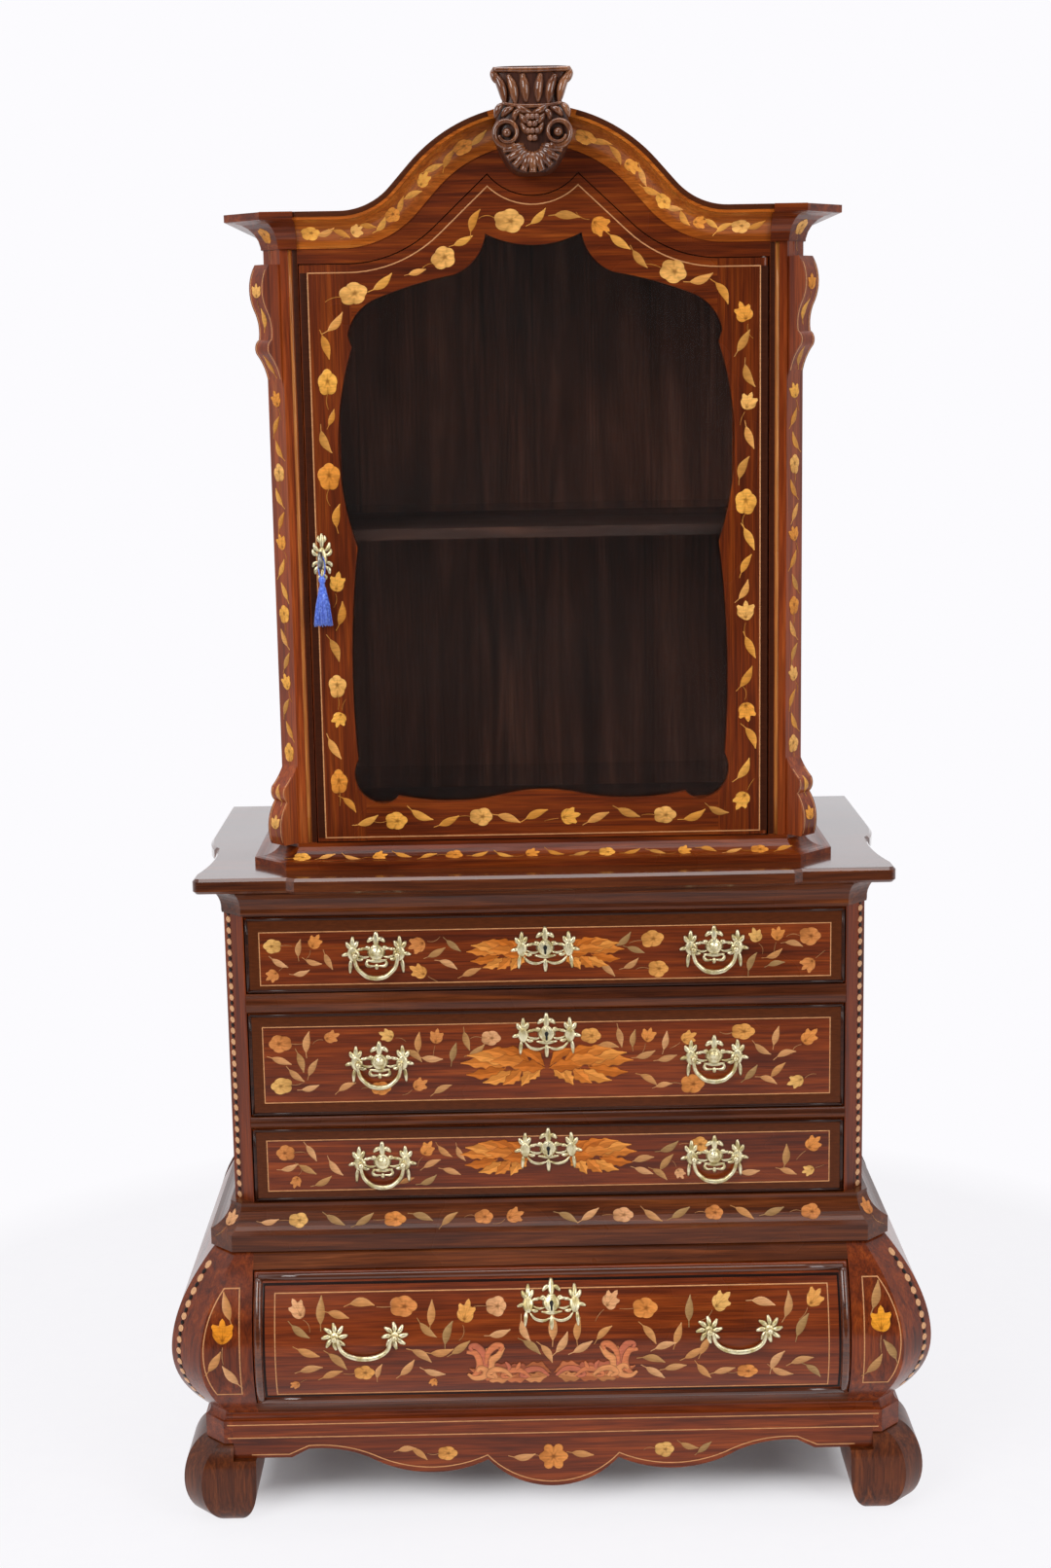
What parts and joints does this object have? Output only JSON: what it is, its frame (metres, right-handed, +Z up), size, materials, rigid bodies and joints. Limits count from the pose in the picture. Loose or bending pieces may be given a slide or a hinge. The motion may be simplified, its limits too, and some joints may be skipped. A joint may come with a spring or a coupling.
{
  "type": "cabinet on chest",
  "caption": "Glazed cabinet with an arched cornice and carved crest on a chest of drawers with a swelling bombe base, floral inlay, brass bails and a door lock with key and tassel.",
  "frame": {"origin": "on the floor, under the middle of the whole object", "axes": "+Z up, +X to the viewer's right, the front faces -Y"},
  "size_m": [1.099, 0.6154, 2.0505],
  "materials": {
    "mahogany": "polished",
    "inner_wood": "matt",
    "oak": "plain",
    "brass": "worn",
    "steel": "dull",
    "glass": "clear",
    "silk": "silky"
  },
  "bodies": {
    "carcase": {"feet": "mahogany", "apron": "mahogany", "base_plinth": "mahogany", "lower_corner_posts": "mahogany", "lower_sides": "mahogany", "dust_boards": "inner_wood", "front_rails": "mahogany", "waist_moulding": "mahogany", "head_moulding": "mahogany", "corner_posts": "mahogany", "chest_sides": "mahogany", "chest_back": "inner_wood", "drawer_runners": "inner_wood", "chest_top": "mahogany", "cabinet_plinth": "mahogany", "cabinet_sides": "mahogany", "cabinet_back": "inner_wood", "roof": "inner_wood", "shelf": "inner_wood", "shelf_bearers": "inner_wood", "hinge_pins": "steel", "cabinet_floor": "inner_wood", "frieze": "mahogany", "cornice_arch": "mahogany", "cornice_returns": "mahogany", "crest": "mahogany", "corbels": "mahogany", "cabinet_posts": "mahogany"},
    "door": {"door_bottom_rail": "mahogany", "door_top_rail": "mahogany", "door_lock_stile": "mahogany", "door_hinge_stile": "mahogany", "door_glass": "glass", "glazing_beads": "mahogany", "door_escutcheon": "brass", "lock_case": "steel"},
    "lock_bolt": {"lock_bolt": "steel"},
    "key": {"key": "steel"},
    "tassel": {"tassel": "silk"},
    "drawer_1": {"drawer_1_front": "mahogany", "drawer_1_lining": "oak", "drawer_1_brasses": "brass"},
    "drawer_1_bail_left": {"drawer_1_bail_left": "brass"},
    "drawer_1_bail_right": {"drawer_1_bail_right": "brass"},
    "drawer_2": {"drawer_2_front": "mahogany", "drawer_2_lining": "oak", "drawer_2_brasses": "brass"},
    "drawer_2_bail_left": {"drawer_2_bail_left": "brass"},
    "drawer_2_bail_right": {"drawer_2_bail_right": "brass"},
    "drawer_3": {"drawer_3_front": "mahogany", "drawer_3_lining": "oak", "drawer_3_brasses": "brass"},
    "drawer_3_bail_left": {"drawer_3_bail_left": "brass"},
    "drawer_3_bail_right": {"drawer_3_bail_right": "brass"},
    "drawer_4": {"drawer_4_front": "mahogany", "drawer_4_lining": "oak", "drawer_4_brasses": "brass"},
    "drawer_4_bail_left": {"drawer_4_bail_left": "brass"},
    "drawer_4_bail_right": {"drawer_4_bail_right": "brass"}
  },
  "joints": [
    {"name": "door_hinge", "type": "hinge", "parent": "carcase", "child": "door", "pos_m": [0.3155, -0.13332, 1.4], "axis": [0, 0, 1], "range_deg": [0, 90]},
    {"name": "key_turn", "type": "hinge", "parent": "door", "child": "key", "pos_m": [-0.3035, -0.14032, 1.3995], "axis": [0, 1, 0], "range_deg": [0, 90]},
    {"name": "bolt_slide", "type": "slide", "parent": "door", "child": "lock_bolt", "axis": [-1, 0, 0], "range_m": [0, 0.009]},
    {"name": "tassel_swing", "type": "hinge", "parent": "door", "child": "tassel", "pos_m": [-0.3035, -0.15332, 1.3995], "axis": [0, 1, 0], "range_deg": [-35, 35]},
    {"name": "drawer_1_slide", "type": "slide", "parent": "carcase", "child": "drawer_1", "axis": [0, -1, 0], "range_m": [0, 0.35]},
    {"name": "drawer_1_bail_left_swing", "type": "hinge", "parent": "drawer_1", "child": "drawer_1_bail_left", "pos_m": [-0.24, -0.21332, 0.8425], "axis": [-1, 0, 0], "range_deg": [0, 85]},
    {"name": "drawer_1_bail_right_swing", "type": "hinge", "parent": "drawer_1", "child": "drawer_1_bail_right", "pos_m": [0.24, -0.21332, 0.8425], "axis": [-1, 0, 0], "range_deg": [0, 85]},
    {"name": "drawer_2_slide", "type": "slide", "parent": "carcase", "child": "drawer_2", "axis": [0, -1, 0], "range_m": [0, 0.35]},
    {"name": "drawer_2_bail_left_swing", "type": "hinge", "parent": "drawer_2", "child": "drawer_2_bail_left", "pos_m": [-0.24, -0.21332, 0.6805], "axis": [-1, 0, 0], "range_deg": [0, 85]},
    {"name": "drawer_2_bail_right_swing", "type": "hinge", "parent": "drawer_2", "child": "drawer_2_bail_right", "pos_m": [0.24, -0.21332, 0.6805], "axis": [-1, 0, 0], "range_deg": [0, 85]},
    {"name": "drawer_3_slide", "type": "slide", "parent": "carcase", "child": "drawer_3", "axis": [0, -1, 0], "range_m": [0, 0.35]},
    {"name": "drawer_3_bail_left_swing", "type": "hinge", "parent": "drawer_3", "child": "drawer_3_bail_left", "pos_m": [-0.24, -0.21332, 0.53], "axis": [-1, 0, 0], "range_deg": [0, 85]},
    {"name": "drawer_3_bail_right_swing", "type": "hinge", "parent": "drawer_3", "child": "drawer_3_bail_right", "pos_m": [0.24, -0.21332, 0.53], "axis": [-1, 0, 0], "range_deg": [0, 85]},
    {"name": "drawer_4_slide", "type": "slide", "parent": "carcase", "child": "drawer_4", "axis": [0, -1, 0], "range_m": [0, 0.35]},
    {"name": "drawer_4_bail_left_swing", "type": "hinge", "parent": "drawer_4", "child": "drawer_4_bail_left", "pos_m": [-0.267, -0.30368, 0.3045], "axis": [-1, 0, 0], "range_deg": [0, 85]},
    {"name": "drawer_4_bail_right_swing", "type": "hinge", "parent": "drawer_4", "child": "drawer_4_bail_right", "pos_m": [0.267, -0.30368, 0.3045], "axis": [-1, 0, 0], "range_deg": [0, 85]}
  ],
  "couplings": [
    {"joint": "key_turn", "follows": "bolt_slide", "rad_per_m": 174.53}
  ]
}
